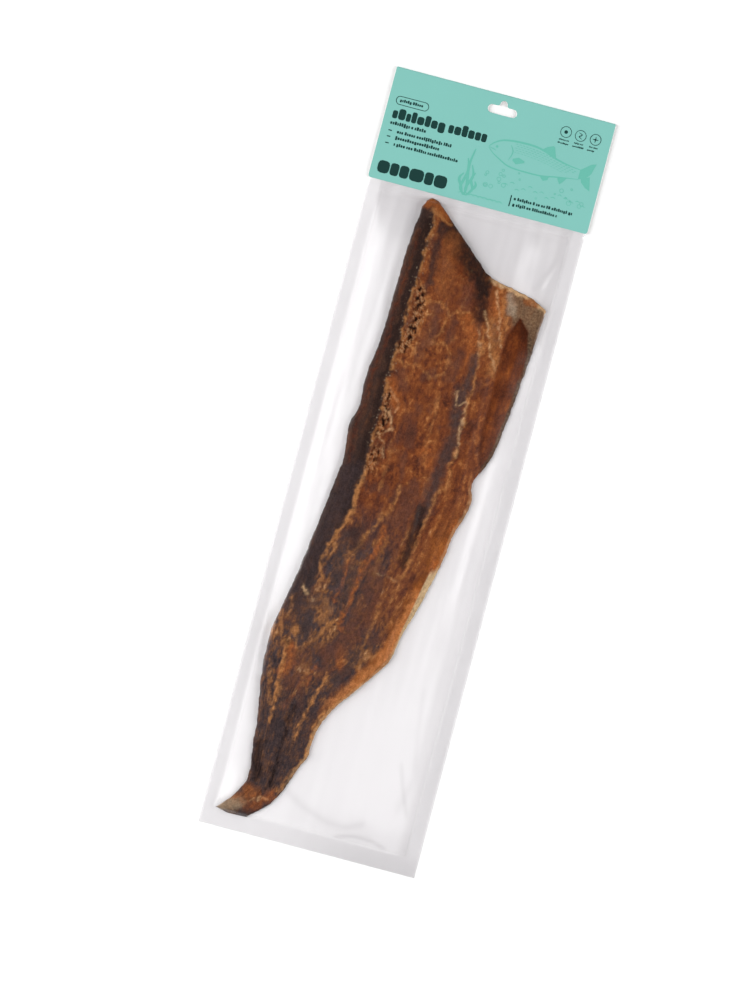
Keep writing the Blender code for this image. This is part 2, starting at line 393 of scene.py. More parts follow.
# Marks on the flesh: colour, strength, rise, width, softness, and (x, height) points.
MARKS = (
    # The dark shoulder under the head cut, the neck's streaks and the paler field between.
    (RED, 0.6, 0, 10, 8, (-4, 436), (4, 424), (11, 412), (15, 400)),
    (BLACK, 0.97, -0.5, 16, 9, (-15, 459), (-4, 448), (6, 438), (13, 431), (20, 422)),
    (BLACK, 0.88, -0.5, 10, 9, (17, 424), (20, 412), (23, 400)),
    (ORANGE, 0.65, 0.2, 9, 7, (30, 424), (34, 408), (36, 392)),
    (DARK, 0.8, -0.5, 5, 4, (-20, 455), (-20.5, 440), (-20, 428), (-18, 416)),
    (BROWN, 0.55, 0.2, 11, 10, (-10, 447), (-10, 430), (-8, 412)),
    (PURPLE, 0.6, -0.2, 9, 8, (8, 418), (11, 406)),
    # The back's strip.
    (RED, 0.45, 0.2, 3.5, 4, (-35, 448), (-36.5, 420), (-38, 390), (-38, 366), (-42, 344)),
    (RED, 0.4, 0.2, 3.5, 4, (-42, 344), (-41.5, 322), (-44, 306), (-43, 288), (-42, 276)),
    (BLACK, 0.75, -0.2, 6, 5, (-31, 456), (-31.5, 420), (-32, 380), (-32.5, 340), (-33, 290), (-36, 240)),
    (INDIGO, 0.65, 0, 14, 8, (-38, 272), (-41, 242), (-47, 214), (-50, 190), (-54, 166)),
    # Pale arcs over the upper body.
    (TAN, 0.65, 0.5, 2.2, 2, (-25, 413), (-17, 402), (-6, 402), (0, 396), (6, 398.5), (14, 401)),
    (TAN, 0.5, 0.4, 2, 2, (0, 396), (-1, 384), (-8, 372)),
    (TAN, 0.45, 0.4, 2, 2, (-6, 374), (3, 374), (9, 369), (8, 358)),
    (TAN, 0.5, 0.4, 2.2, 2, (-27, 355), (-20, 352), (-10, 355), (-1, 348.5), (8, 354)),
    (ORANGE, 0.55, 0.3, 7, 6, (15, 396), (21, 386), (22.5, 367)),
    (TAN, 0.52, 0.4, 7, 5, (31, 400), (35, 386), (40, 374), (41, 364)),
    (TAN, 0.55, 0.3, 4.5, 4, (33, 424), (38, 410), (42, 398), (41, 386)),
    (CREAM, 0.45, 0.4, 1.8, 1.6, (29, 422), (34, 408), (38, 394), (42, 382)),
    (CREAM, 0.45, 0.4, 1.8, 1.6, (25, 404), (31, 390), (36, 376), (42, 366)),
    (CREAM, 0.4, 0.4, 1.6, 1.6, (23, 390), (28, 380), (30, 368)),
    (CREAM, 0.55, 0.5, 1.8, 1.6, (-27, 335), (-22, 330), (-18, 325), (-19, 318)),
    (CREAM, 0.55, 0.5, 1.8, 1.6, (-27, 320), (-21, 314), (-18, 306), (-23, 303)),
    (CREAM, 0.45, 0.5, 1.8, 1.6, (-27, 302), (-22, 296), (-20, 288)),
    (ORANGE, 0.55, 0.3, 8, 6, (-26, 338), (-22, 331), (-20, 322)),
    (ORANGE, 0.6, 0.3, 9, 7, (9, 296), (13, 290)),
    (TAN, 0.4, 0.3, 2, 2, (8, 340), (9, 322), (8, 304), (11, 286)),
    (TAN, 0.4, 0.3, 2, 2, (-16, 300), (-14, 280), (-16, 262)),
    # Dark patches over the upper body.
    (PURPLE, 0.7, -0.3, 8, 6, (-10, 397), (-8, 384), (-12, 368)),
    (PURPLE, 0.6, -0.3, 8, 6, (-22, 347), (-18, 338)),
    (PURPLE, 0.55, -0.3, 8, 7, (16, 370), (12, 352)),
    (PURPLE, 0.5, -0.3, 8, 7, (-8, 318), (-4, 300)),
    (PURPLE, 0.75, -0.3, 13, 7, (8, 268), (5, 246)),
    (BLUE_GREY, 0.55, -0.2, 4, 4, (34, 398), (37, 388)),
    (DARK, 0.55, -0.3, 3, 3, (26.5, 378), (28, 374)),
    # The dark line along the side, in pieces, with a pale ridge right of it.
    (BLUE_GREY, 0.85, -0.7, 6, 6, (26, 372), (26.5, 362), (26, 350), (24, 338)),
    (BLUE_GREY, 0.75, -0.7, 8, 7, (21, 346), (23, 336), (25, 326)),
    (BLUE_GREY, 0.85, -0.7, 8, 7, (25, 328), (26, 312), (24, 296), (22, 280), (21, 262), (19, 248)),
    (BLACK, 0.85, -0.8, 7, 4, (17, 256), (16, 238), (14.5, 217)),
    (TAN, 0.75, 0.8, 2, 1.6, (28, 392), (30, 376), (29, 362), (31, 350), (29, 336), (32, 322)),
    (CREAM, 0.6, 0.8, 1.6, 1.4, (20, 344), (23, 335), (28, 338), (30, 330), (29, 318), (31, 300)),
    (TAN, 0.65, 0.8, 2.4, 2, (31, 304), (29, 292), (31, 278), (25, 270), (22.5, 253), (21, 238)),
    (TAN, 0.55, 0.7, 2.4, 2, (21, 238), (18, 214), (13.5, 196), (12, 186)),
    # The lower body's streaks.
    (ORANGE, 0.75, 0, 8, 6, (45, 250), (42, 232), (37, 214)),
    (ORANGE, 0.6, 0, 5, 4, (31, 200), (26, 176), (22, 158), (14, 144)),
    (TAN, 0.75, 0.9, 2.6, 2, (-28, 272), (-30.5, 259), (-30, 242), (-35, 230), (-41, 214)),
    (TAN, 0.6, 0.8, 2.6, 2, (-41, 214), (-43, 197), (-38, 192), (-42, 184)),
    (TAN, 0.65, 0.6, 2.6, 2, (-1, 268), (-5, 250), (-13, 234), (-18, 226), (-22, 213), (-25, 205)),
    (ORANGE, 0.7, 0.6, 4, 3.5, (-5, 236), (-7, 216), (-13, 206), (-15, 189), (-18, 170), (-17, 160)),
    (ORANGE, 0.45, 0.4, 3, 3, (-24, 206), (-24, 192), (-27, 178)),
    (TAN, 0.5, 0.5, 2, 2, (6, 184), (4.5, 166), (2, 150)),
    (TAN, 0.55, 0.6, 3, 3, (-24, 164), (-29, 152), (-36, 146), (-40, 138)),
    (TAN, 0.4, 0.4, 6, 5, (-33, 176), (-28, 170), (-31, 162)),
    (TAN, 0.6, 0.6, 2.4, 2, (-48, 153), (-45, 142), (-42, 133)),
    (TAN, 0.6, 0.6, 2.6, 2, (-61, 161), (-58, 144), (-51, 139), (-53, 130)),
    (ORANGE, 0.65, 0.5, 6, 5, (-48, 137), (-45, 128), (-50, 118)),
    (ORANGE, 0.6, 0.5, 6, 5, (-13, 144), (-11, 132)),
    (ORANGE, 0.5, 0.5, 3, 3, (-26, 130), (-30, 117)),
    (TAN, 0.45, 0.4, 3, 3, (-56, 172), (-55, 158)),
    (DARK, 0.75, -0.5, 10, 7, (-24, 230), (-22, 220)),
    (BLUE_GREY, 0.65, -0.5, 7, 5, (-31, 226), (-30, 208), (-29, 190)),
    (BLUE_GREY, 0.7, -0.5, 5, 4, (-19, 204), (-19, 184), (-19, 174)),
    (PURPLE, 0.75, 0, 14, 8, (-4, 206), (-1, 190), (-5, 170), (-12, 150), (-20, 140)),
    (BLUE_GREY, 0.7, -0.5, 9, 6, (-42, 176), (-41, 160), (-41, 148)),
    (BLUE_GREY, 0.7, -0.5, 6, 4, (-1, 146), (-3, 134), (-12, 124)),
    (PURPLE, 0.6, 0, 12, 8, (-38, 132), (-38, 112)),
    (BLACK, 0.55, -0.6, 4, 3, (-53, 143), (-51, 140)),
    (CREAM, 0.7, 0.3, 3, 3, (-50, 181), (-48, 179)),
    (CREAM, 0.22, 0.5, 1.4, 1.4, (-2, 202), (5, 203.5), (13, 202.5)),
    (SALMON, 0.65, 0, 7, 5,
     (31.5, 196), (26, 176), (22, 160), (18.5, 147), (11, 134), (0, 119), (-9, 105)),
    # The tail's ridges and folds.
    (TAN, 0.8, 0.9, 2.8, 2.2, (-51, 132), (-50, 118), (-50, 102), (-48.5, 82)),
    (TAN, 0.6, 0.7, 2.2, 2, (-60, 124), (-56, 108), (-52, 94)),
    (TAN, 0.8, 0.9, 2.4, 2, (-18, 124), (-21, 113), (-24, 101), (-27, 88), (-29, 75)),
    (TAN, 0.85, 0.6, 4.6, 3, (13, 128), (-2, 111), (-11, 99), (-16, 84), (-17, 68)),
    (ORANGE, 0.25, 0.3, 3, 3, (-32, 122), (-36, 108), (-42, 94)),
    (BLACK, 0.7, -1.2, 4, 4, (-35, 96), (-36.5, 74), (-36.5, 52), (-38, 36)),
    (BLACK, 0.75, -1, 6, 5, (-52, 66), (-50, 50), (-48, 42)),
    (TAN, 0.6, 0.4, 2.5, 2.5, (-16, 70), (-20, 60), (-26, 46), (-31, 34)),
    (BROWN, 0.75, 0.2, 9, 7, (-52, 31), (-46, 28), (-58, 22)),
    (CREAM, 0.55, 0.4, 1.6, 1.4, (-48, 24), (-42, 27), (-36, 27)),
    (ORANGE, 0.55, 0.2, 6, 5, (-34, 33), (-39, 25), (-46, 19)),
    (DARK, 0.7, -0.2, 3, 3, (-38, 18), (-46, 13), (-56, 11)),
)


def blend(colours, other, share):
    """Mixes a colour into a field of colours by a share at each point."""
    share = np.clip(share, 0, 1)[..., None]
    return colours * (1 - share) + other * share


def ramp(value, stops):
    """A colour for each value, through stops of a value and a screen colour."""
    at = [stop[0] for stop in stops]
    colours = np.array([linear(*stop[1:]) for stop in stops])
    return np.stack([np.interp(value, at, channel) for channel in colours.T], -1)


def wisps(x, h, seed, width):
    """Thin crooked filaments: 1 along the lines where a noise field crosses 0."""
    return 1 - smooth(0, width, np.abs(layered(x, h, seed, 2, 0.4)))


def on_line(height, path):
    """The x of a line of (x, height) points that runs down the pack, at these heights."""
    return np.interp(height, [p[1] for p in path[::-1]], [p[0] for p in path[::-1]])


class Flesh:
    """The fillet's upper face: its colour, and its rise above its smooth form, at each point."""

    def __init__(self, x, h, u):
        self.x, self.h, self.u = x, h, u
        # The same places pulled about a little, so that no edge is a clean line.
        self.wx = x + 2.0 * layered(x / 6, h / 8, 3, 3, 0.6)
        self.wh = h + 3.0 * layered(x / 7, h / 9, 4, 3, 0.6)
        self.places = x, h, self.wx, self.wh
        self.lower = 1 - smooth(206, 262, h + 12 * noise(x / 18, h / 26, 5))
        self.edge_x = edge_at(RIGHT_EDGE, h)
        # Tissue at every scale from blotches to fibres.
        self.across = MEAN_WIDTH * u
        self.blotches = layered(self.wx / 11, self.wh / 15, 11, 4, 0.62)
        self.mottle = layered(x / 2.7, h / 4.2, 13, 2, 0.7)
        self.fibres = layered(self.across / 3.4, h / 24, 41, 3, 0.6)
        self.crumbs = layered(x / 2.4, h / 3.8, 55, 2)
        self.threads = self.filaments()
        self.seam = band(self.wx, self.wh, DORSAL_SEAM, 2.2, 2.0) * smooth(190, 270, h)
        self.rise = self.tissue(0, 0.45, 0.25, 0.15) + 0.5 * self.threads + 0.7 * self.seam
        self.rise += 0.5 * layered(self.across / 22, h / 34, 91)
        self.lay_ground()
        self.lay_marks()
        self.lay_seam()
        self.lay_belly_wall()
        self.lay_edges()

    def tissue(self, middle, blotches, fibres, mottle):
        """The tissue's strength: a middle value, and how much of each scale."""
        strength = middle + blotches * self.blotches
        return strength + fibres * self.fibres + mottle * self.mottle

    def lay(self, colour, share):
        """Lays a colour over what is there."""
        self.colours = blend(self.colours, colour, share)

    def filaments(self):
        """Pale filaments: crossing threads in the upper body, long streaks in the lower."""
        x, h, wx, wh = self.places
        threads = wisps(wx / 10, wh / 15, 21, 0.17)
        threads = np.maximum(threads, 0.9 * wisps(wx / 6, wh / 9, 22, 0.2))
        threads *= smooth(-0.2, 0.4, layered(x / 13, h / 18, 31))
        streaks = wisps(self.across / 9, h / 34, 23, 0.2)
        streaks = np.maximum(streaks, 0.9 * wisps(wx / 5, wh / 13, 24, 0.2))
        streaks *= 0.2 + 0.8 * smooth(-0.2, 0.4, layered(x / 8, h / 14, 32))
        finest = 0.75 * wisps(x / 3.4, h / 6.5, 25, 0.24)
        finest *= smooth(-0.1, 0.5, layered(x / 9, h / 12, 33))
        streaks = np.maximum(streaks, finest)
        return threads * (1 - self.lower) + 1.25 * streaks * self.lower

    def lay_ground(self):
        """Each zone's tissue: the body, its belly side, the back's strip and the tail."""
        x, h, u, lower = self.x, self.h, self.u, self.lower
        tissue = self.tissue(0.45, 0.32, 0.14, 0.22) + 0.26 * self.threads - 0.05 * lower
        tissue -= 0.11 * (1 - smooth(296, 344, h)) * (1 - lower)
        self.colours = ramp(tissue, UPPER_FLESH)
        self.lay(ramp(tissue - 0.02, LOWER_FLESH), lower)
        self.lay(PURPLE, 0.6 * smooth(0.05, 0.6, -layered(x / 9, h / 15, 101)))
        bluish = smooth(0.05, 0.5, layered(self.wx / 8, self.wh / 14, 107))
        bluish *= 1 - smooth(-12, 18, x)
        self.lay(SLATE, 0.75 * bluish * lower * (1 - self.threads))
        flank = smooth(0.62, 0.74, u + 0.06 * layered(x / 7, h / 20, 83))
        flank *= (1 - smooth(280, 300, h)) * smooth(150, 190, h)
        streaky = self.tissue(0.46, 0, 0.4, 0.2) + 0.2 * self.threads
        self.lay(ramp(streaky, UPPER_FLESH), 0.7 * flank)
        belly = smooth(0.84, 0.93, u + 0.05 * layered(x / 7, h / 16, 81))
        belly *= (1 - smooth(246, 276, h)) * smooth(62, 100, h)
        self.lay(ramp(self.tissue(0.36, 0.3, 0.22, 0.1), BELLY_FLESH), 0.9 * belly)
        back = 1 - smooth(-1.2, 1.2, self.wx - on_line(self.wh, DORSAL_SEAM))
        back *= smooth(150, 196, h)
        self.lay(ramp(self.tissue(0.4, 0.24, 0.22, 0.1), DORSAL_FLESH), 0.96 * back)
        tail = 1 - smooth(78, 128, h)
        self.lay(ramp(self.tissue(0.3, 0.2, 0.12, 0.12), LOWER_FLESH), 0.85 * tail)

    def lay_marks(self):
        """The table's marks, with ragged edges and crumbly colour."""
        ragged = layered(self.x / 4.5, self.h / 6.5, 57, 2)
        thin = 5
        for colour, strength, lift, width, soft, *path in MARKS:
            away = from_path(self.wx, self.wh, path)[0] - width / 2 * (1 + 0.5 * ragged)
            share = 1 - smooth(-soft / 2, soft / 2, away)
            share *= 1 - (0.75 if width < thin else 0.2) * (1 - smooth(-0.6, 0.5, self.crumbs))
            self.lay(colour * (1 + 0.35 * self.crumbs)[..., None], strength * share)
            self.rise = self.rise + lift * share

    def lay_seam(self):
        """The back's seam, with glints, and the stretches torn into pits with pale lips."""
        x, h, wx, wh = self.places
        self.lay(TAN, 0.7 * self.seam * smooth(-0.4, 0.2, noise(x / 4, h / 6, 103)))
        glints = band(wx, wh, DORSAL_SEAM, 6, 3) * smooth(0.4, 0.8, noise(x / 1.3, h / 1.7, 109))
        self.lay(SILVER_AND_HIGHLIGHT, 0.6 * glints * smooth(255, 290, h))
        torn = [part * band(wx, h, path, width, soft) for part, width, soft, *path in TORN]
        torn = np.max(torn, 0)
        ragged = layered(x / 3.0, h / 3.6, 51, 3, 0.6)
        pits = torn * smooth(-0.05, 0.4, ragged)
        lips = torn * (1 - smooth(0.04, 0.25, np.abs(ragged + 0.25)))
        self.lay(BROWN, 0.4 * torn)
        self.lay(CREAM * 0.8, 0.5 * lips)
        self.lay(BLACK, 0.95 * pits)
        self.rise += 0.6 * lips - 1.9 * pits

    def lay_belly_wall(self):
        """The belly wall's smooth red lining, with the skin's grey edge beside and above it, and a
        painted highlight of the film's gloss near its top.
        """
        x, h, wx, wh = self.places
        wall = smooth(-0.6, 0.8, x - on_line(h, WALL_EDGE)) * smooth(294, 297, h)
        wall *= 1 - smooth(-1, 1, h - WALL_TOP[1] + 1.1 * np.abs(x - WALL_TOP[0]))
        lining = self.tissue(0.42, 0.36, 0.26, 0.12) - 0.34 * smooth(378, 402, h)
        lining -= 0.2 * (1 - smooth(296, 316, h))
        self.lay(ramp(lining, SMOOTH_FLESH), 0.95 * wall)
        rim_width = 2.0 + 6.5 * smooth(376, 408, h) + 0.8 * noise(x, h / 7, 62)
        rim = smooth(290, 297, h) * smooth(-1.2, 0.8, x - self.edge_x + rim_width)
        above = smooth(-3, 3, wx - 44 + (wh - 404) * 0.12) * smooth(396, 404, wh) * (1 - wall)
        shade = 0.38 + 0.35 * noise(x / 1.6, h / 1.6, 105) + 0.42 * smooth(380, 412, h)
        self.lay(GREY * shade[..., None], 0.85 * np.maximum(rim, 0.9 * above))
        # A painted highlight: the film's gloss, painted pale onto the flesh at the top of the belly wall.
        painted_highlight = band(wx, wh, ((39, 420), (42, 413), (44, 409)), 5, 5)
        self.lay(SILVER_AND_HIGHLIGHT, 0.8 * painted_highlight * (1 - wall))
        self.rise += 0.5 * rim - 1.2 * wall

    def lay_edges(self):
        """The pale head cut and tips, the fringe of torn flesh and the sliver of skin."""
        x, h, wx, wh = self.places
        below_cut = from_path(x, h, [(cut_x, cut_h) for _, cut_x, cut_h in HEAD_CUT])[0]
        cut = 1 - smooth(1.2, 4.2, below_cut + 1.8 * noise(x / 3, h / 3, 71))
        self.lay(CREAM * 1.05, 0.85 * cut * smooth(20, 28, x))
        self.lay(ORANGE * 0.75, 0.8 * band(wx, wh, ((52, 420), (59, 419)), 4, 3))
        top_tip = 1 - smooth(4, 8, below_cut + 2 * noise(x / 5, h / 5, 72))
        top_tip *= (1 - smooth(-19, -12, x)) * smooth(454, 462, h)
        self.lay(ORANGE * 0.8, 0.85 * top_tip)
        self.lay(TAN, 0.6 * band(wx, wh, ((-30, 466), (-15, 458)), 2.2, 2))
        fringe = smooth(-3, -1, x - self.edge_x + 0.9 * noise(x / 3, h / 5, 73))
        fringe *= smooth(24, 60, h)
        fringe *= (1 - smooth(268, 290, h)) * (0.65 + 0.35 * np.clip(self.mottle, -1, 1))
        self.lay(CREAM * 0.8, 0.7 * fringe)
        sliver = smooth(0, 0.8, x - self.edge_x + 0.6 + 4.6 * smooth(140, 212, h))
        sliver *= smooth(141, 150, h) * (1 - smooth(212, 218, h - 0.6 * (x - 36)))
        self.lay(PALE_SKIN * (0.9 + 0.2 * self.crumbs)[..., None], 0.9 * sliver)
        tail_tip = from_path(wx, wh, ((-70, 13), (-62, 17), (-56, 20)))[0]
        self.lay(TIP_GREY, 0.75 * (1 - smooth(1, 7, tail_tip)))
        self.rise -= 0.7 * sliver


def fillet_form(u, v, h):
    """The fillet's smooth thickness, thick along the back and thin at the belly, and its edge."""
    width = edge_at(RIGHT_EDGE, h) - edge_at(LEFT_EDGE, h)
    body = TAIL_THICKNESS + THICKER_BODY * smooth(20, 150, h)
    across = 1 - THINNER_BELLY * smooth(0.3, 1.0, u)
    edge = np.ones_like(u)
    for away, radius in (
        (u * width, LEFT_ROUND), ((1 - u) * width, RIGHT_ROUND),
        (v * LENGTH_ON_LEFT, TAIL_ROUND), ((1 - v) * MEAN_LENGTH, HEAD_ROUND),
    ):
        part = np.clip(away / radius, 0, 1)
        edge = edge * np.sqrt(1 - (1 - part) ** 2)
    return body * across * edge, edge


def spacing(count):
    """Shares from 0 to 1, closer together near the ends."""
    even = np.linspace(0, 1, count + 1)
    return 0.75 * even + 0.25 * (1 - np.cos(math.pi * even)) / 2


def cap(upper, lower, flip):
    """Triangles between two rows of (share, vertex) that share their end vertices."""
    faces = []
    i = j = 0
    while i < len(upper) - 1 or j < len(lower) - 1:
        a, b = upper[i][1], lower[j][1]
        more = i < len(upper) - 1
        if more and (j == len(lower) - 1 or upper[i + 1][0] <= lower[j + 1][0]):
            i += 1
            face = (a, upper[i][1], b)
        else:
            j += 1
            face = (a, lower[j][1], b)
        if len(set(face)) == 3:
            faces.append(face[::-1] if flip else face)
    return faces


def make_fillet():
    across, under_across, along = spacing(ACROSS), spacing(UNDER), spacing(ALONG)
    u, v = np.meshgrid(across, along)
    x, h = fillet_patch(u, v)
    near_side = 1 - smooth(0, 0.05, np.minimum(u, 1 - u))
    x = x + (0.35 * noise(x / 4, h / 7, 7) + 0.35 * noise(x / 2, h / 2.5, 8)) * near_side
    h = h + 1.1 * layered(x / 4, h / 40, 9, 2, 0.6) * smooth(0.985, 1.0, v)
    form, edge = fillet_form(u, v, h)
    flesh = Flesh(x, h, u)
    upper = FILLET_BASE + EDGE_THICKNESS + form + flesh.rise * edge
    upper = np.maximum(upper, FILLET_BASE + EDGE_THICKNESS * edge + LEAST_THICKNESS)

    under_u, under_v = np.meshgrid(under_across[1:-1], along)
    under_x, under_h = fillet_patch(under_u, under_v)
    under = FILLET_BASE + 0.15 * (1 + layered(under_x / 6, under_h / 8, 111))
    scales = smooth(-0.3, 0.5, layered(under_x / 4, under_h / 5, 112))
    skin = blend(np.broadcast_to(DARK, (*under_x.shape, 3)), SILVER_AND_HIGHLIGHT * 0.5, scales)
    # Each row of the mesh is a ring: across the upper face and back across the underside.
    points, shades = (
        np.concatenate([above, below[:, ::-1]], 1)
        for above, below in (
            (np.stack([x, h, upper], -1), np.stack([under_x, under_h, under], -1)),
            (flesh.colours, skin),
        )
    )
    rows, ring = points.shape[:2]
    faces = []
    for r in range(rows - 1):
        for c in range(ring):
            a, b = r * ring + c, r * ring + (c + 1) % ring
            faces.append((a, b, b + ring, a + ring))
    for first, flip in ((0, True), ((rows - 1) * ring, False)):
        above = [(share, first + c) for c, share in enumerate(across)]
        below = [(share, first + ring - 1 - c) for c, share in enumerate(under_across[1:-1])]
        below = [above[0], *below, above[-1]]
        faces += cap(above, below, flip)
    piece = mesh_piece("dried_fillet", points.reshape(-1, 3), faces, flesh_material())
    paint(piece, "tone", shades.reshape(-1, 3) * FLESH_EXPOSURE)
    return piece, (x, h, upper)


def flesh_material():
    nodes = Nodes("dried_flesh")
    where = nodes.millimetres()
    along = nodes.millimetres((1, 0.22, 1))
    grain = nodes.noise(where, 0.9, 5, 0.6)
    fibre = nodes.noise(along, 1.5, 4, 0.6)
    speck = nodes.noise(where, 2.6, 2, 0.5)
    tone = nodes.attribute("tone", "Color")
    shade = nodes.spread(grain, 0.3, 0.7, 0.72, 1.28)
    shade = nodes.maths("MULTIPLY", shade, nodes.spread(fibre, 0.3, 0.7, 0.82, 1.18))
    grey = nodes.add("CombineColor", {0: shade, 1: shade, 2: shade})
    colour = nodes.mix(1.0, tone, grey, "MULTIPLY")
    specks = nodes.spread(speck, 0.66, 0.78, 0.0, 0.3)
    colour = nodes.mix(specks, colour, (*SPECK, 1))
    rough = nodes.spread(grain, 0.3, 0.7, 0.6, 0.4)
    bumps = nodes.bump(grain, 0.7, 0.0005, Normal=nodes.bump(fibre, 0.5, 0.0006))
    nodes.set(Base_Color=colour, Roughness=rough, Specular_IOR_Level=0.05, Normal=bumps)
    return nodes.material


# ---------------------------------------------------------------- the film


def film_material():
    """Clear film that hides a little light, with gloss, and haze where it is sealed; its grey attribute
    adds painted shade and painted highlights to the tint.
    """
    nodes = Nodes("clear_film")
    seal, grey = nodes.attribute("seal"), nodes.attribute("grey")
    ripple = nodes.noise(nodes.millimetres((1, 0.3, 1)), 0.2, 1, 0.5)
    normal = nodes.bump(ripple, 0.1, 0.0003)
    # The grey attribute is painted shade: high values darken the tint, and low values leave painted
    # highlights.
    tint = nodes.mix(grey, (0.98, 0.974, 0.978, 1), (0.89, 0.882, 0.887, 1))
    clear = nodes.add("BsdfTransparent", {"Color": tint})
    rough = nodes.spread(seal, 0, 1, 0.27, 0.4)
    gloss = nodes.add(
        "BsdfAnisotropic", {"Color": (1, 1, 1, 1), "Roughness": rough, "Normal": normal},
        distribution="BECKMANN",
    )
    grazing = nodes.add("LayerWeight", {"Blend": 0.5, "Normal": normal}, "Facing")
    share = nodes.spread(nodes.maths("POWER", grazing, 5.0), 0.0, 1.0, 0.02, 0.08)
    haze = nodes.add("BsdfDiffuse", {"Color": (0.85, 0.85, 0.86, 1)})
    veil = nodes.spread(seal, 0, 1, 0.0, 0.08)
    film = nodes.mix_shaders(veil, nodes.mix_shaders(share, clear, gloss), haze)
    nodes.put(nodes.output.inputs["Surface"], film)
    nodes.tree.nodes.remove(nodes.shader)
    return nodes.material


def fillet_on_grid(x, h, fillet):
    """The fillet's upper face as a height at each point of the film's grid."""
    fillet_x, fillet_h, upper = fillet
    columns, rows = (
        np.clip(np.round((value - line[0]) / (line[1] - line[0])).astype(int), 0, len(line) - 1)
        for value, line in ((fillet_x, x[0]), (fillet_h, h[:, 0]))
    )
    found = np.zeros(x.shape)
    np.maximum.at(found, (rows, columns), upper)
    return found


def beside(field):
    """The sum of the four values round each point, with the border's repeated beyond it."""
    padded = np.pad(field, 1, mode="edge")
    return padded[:-2, 1:-1] + padded[2:, 1:-1] + padded[1:-1, :-2] + padded[1:-1, 2:]


def relax(rise, body, inside, lift, passes):
    """Pulls the film taut over what is under it."""
    for _ in range(passes):
        rise = np.where(inside, np.maximum(beside(rise) / 4 + lift, body), 0)
    return rise


def draped(field):
    """The smooth sheet that rests on a field's high places."""
    rows, columns = field.shape
    for _ in range(3):
        padded = np.pad(field, 1, mode="edge")
        near = [padded[i : i + rows, j : j + columns] for i in range(3) for j in range(3)]
        field = np.max(near, 0)
    for _ in range(16):
        field = (beside(field) + 4 * field) / 8
    return field


def pull_taut(body, inside):
    """The film's height over the fillet and the flat sheet round it."""
    start = np.where(inside, body, 0)
    puff = PUFF * FILM_CELL**2
    small = relax(
        *(field[::COARSE, ::COARSE] for field in (start, body, inside)),
        puff * COARSE**2, COARSE_PASSES,
    )
    rows, columns = body.shape
    grown = np.repeat(np.repeat(small, COARSE, 0), COARSE, 1)[:rows, :columns]
    start = np.where(inside, np.maximum(grown, body), 0)
    return relax(start, body + FILM_CLEARANCE / 2 * (body > 0), inside, puff, FINE_PASSES)


def make_film(fillet):
    columns = round(2 * BAG_HALF / FILM_CELL)
    rows = round(FILM_TOP / FILM_CELL)
    x, h = np.meshgrid(
        np.linspace(-BAG_HALF, BAG_HALF, columns + 1), np.linspace(0, FILM_TOP, rows + 1)
    )
    body = fillet_on_grid(x, h, fillet)
    body = (draped(body) + FILM_CLEARANCE) * (body > 0)
    inside = (np.abs(x) < POUCH_HALF) & (h > BOTTOM_SEAL) & (h < POUCH_TOP)
    rise = pull_taut(body, inside)

    # The slack film beside the fillet lies in long ripples, which die out at the seals.
    margin = np.minimum(np.minimum(POUCH_HALF - np.abs(x), h - BOTTOM_SEAL), POUCH_TOP - h)
    slack = smooth(0.6, 3.5, rise - body) * inside * smooth(0, 9, margin)
    ripples = layered(x / 10, h / 160, 201, 2) + 0.6 * layered(x / 24, h / 120, 202, 2)
    ripples = 0.55 * ripples * (1 - 0.7 * calm(x, h)) + 0.15 * layered(x / 14, h / 16, 203)
    rise = rise + slack * ripples

    lifted = STEP_INTO_CARD * smooth(CARD_BOTTOM - 9, CARD_BOTTOM - 0.3, h)
    notch = np.clip(1 - np.abs(h - CARD_BOTTOM + NOTCH_BELOW_CARD) / FILM_CELL, 0, 1)
    x = x - NOTCH_DEPTH * notch * (x > BAG_HALF - 0.5)
    back = np.stack([x, h, BACK_SHEET + lifted], -1)
    front = np.stack([x, h, FRONT_SHEET + lifted + np.maximum(rise, 0)], -1)
    slot_h = PACK_LENGTH - SLOT_BELOW_FOLD
    hole = (np.abs(x) < SLOT_CLEAR_X) & (np.abs(h - slot_h) < SLOT_CLEAR_H)
    points = np.concatenate([back.reshape(-1, 3), front.reshape(-1, 3)])
    piece = mesh_piece("clear_pouch", points, film_faces(hole, rows, columns), film_material())
    seal = np.where(inside, 1 - smooth(0, 1.2, margin), 1.0)
    # The grey attribute carries the film's painted shade and painted highlights.
    for name, field in (("seal", seal), ("grey", painted_film_shade(x, h))):
        paint(piece, name, np.tile(field.ravel(), 2))
    return piece


def calm(x, h):
    """1 at the lower right, where the film lies smooth, and 0 elsewhere."""
    return smooth(-30, 10, x) * (1 - smooth(100, 165, h))


# The film's folds and creases as painted shade, grey, or as painted highlights, bright (below 0):
# strength, width, softness and points.
PAINTED_FOLD_LIGHT = (
    (-0.45, 9, 11, (46, 454), (43, 440), (46, 428)),
    (0.6, 1.5, 4, (71, 466), (64, 450), (55, 430)),
    (-0.75, 1.2, 3, (70, 468), (67, 452), (61, 432)),
    (0.25, 0.8, 2.5, (-70, 466.5), (0, 467.5), (71, 466.5)),
    (0.32, 3, 8, (62, 420), (62, 330), (61.5, 200), (62, 70), (56, 44)),
    (0.6, 1, 4, (50, 76), (57, 56), (63, 42)),
    (0.35, 1, 5, (52, 132), (56, 100), (60, 74)),
    (0.65, 1.5, 3.5, (18, 14.5), (30, 18), (42, 18), (53, 15)),
    (0.45, 2, 8, (-26, 38), (-10, 29), (8, 23), (22, 22), (34, 28)),
)


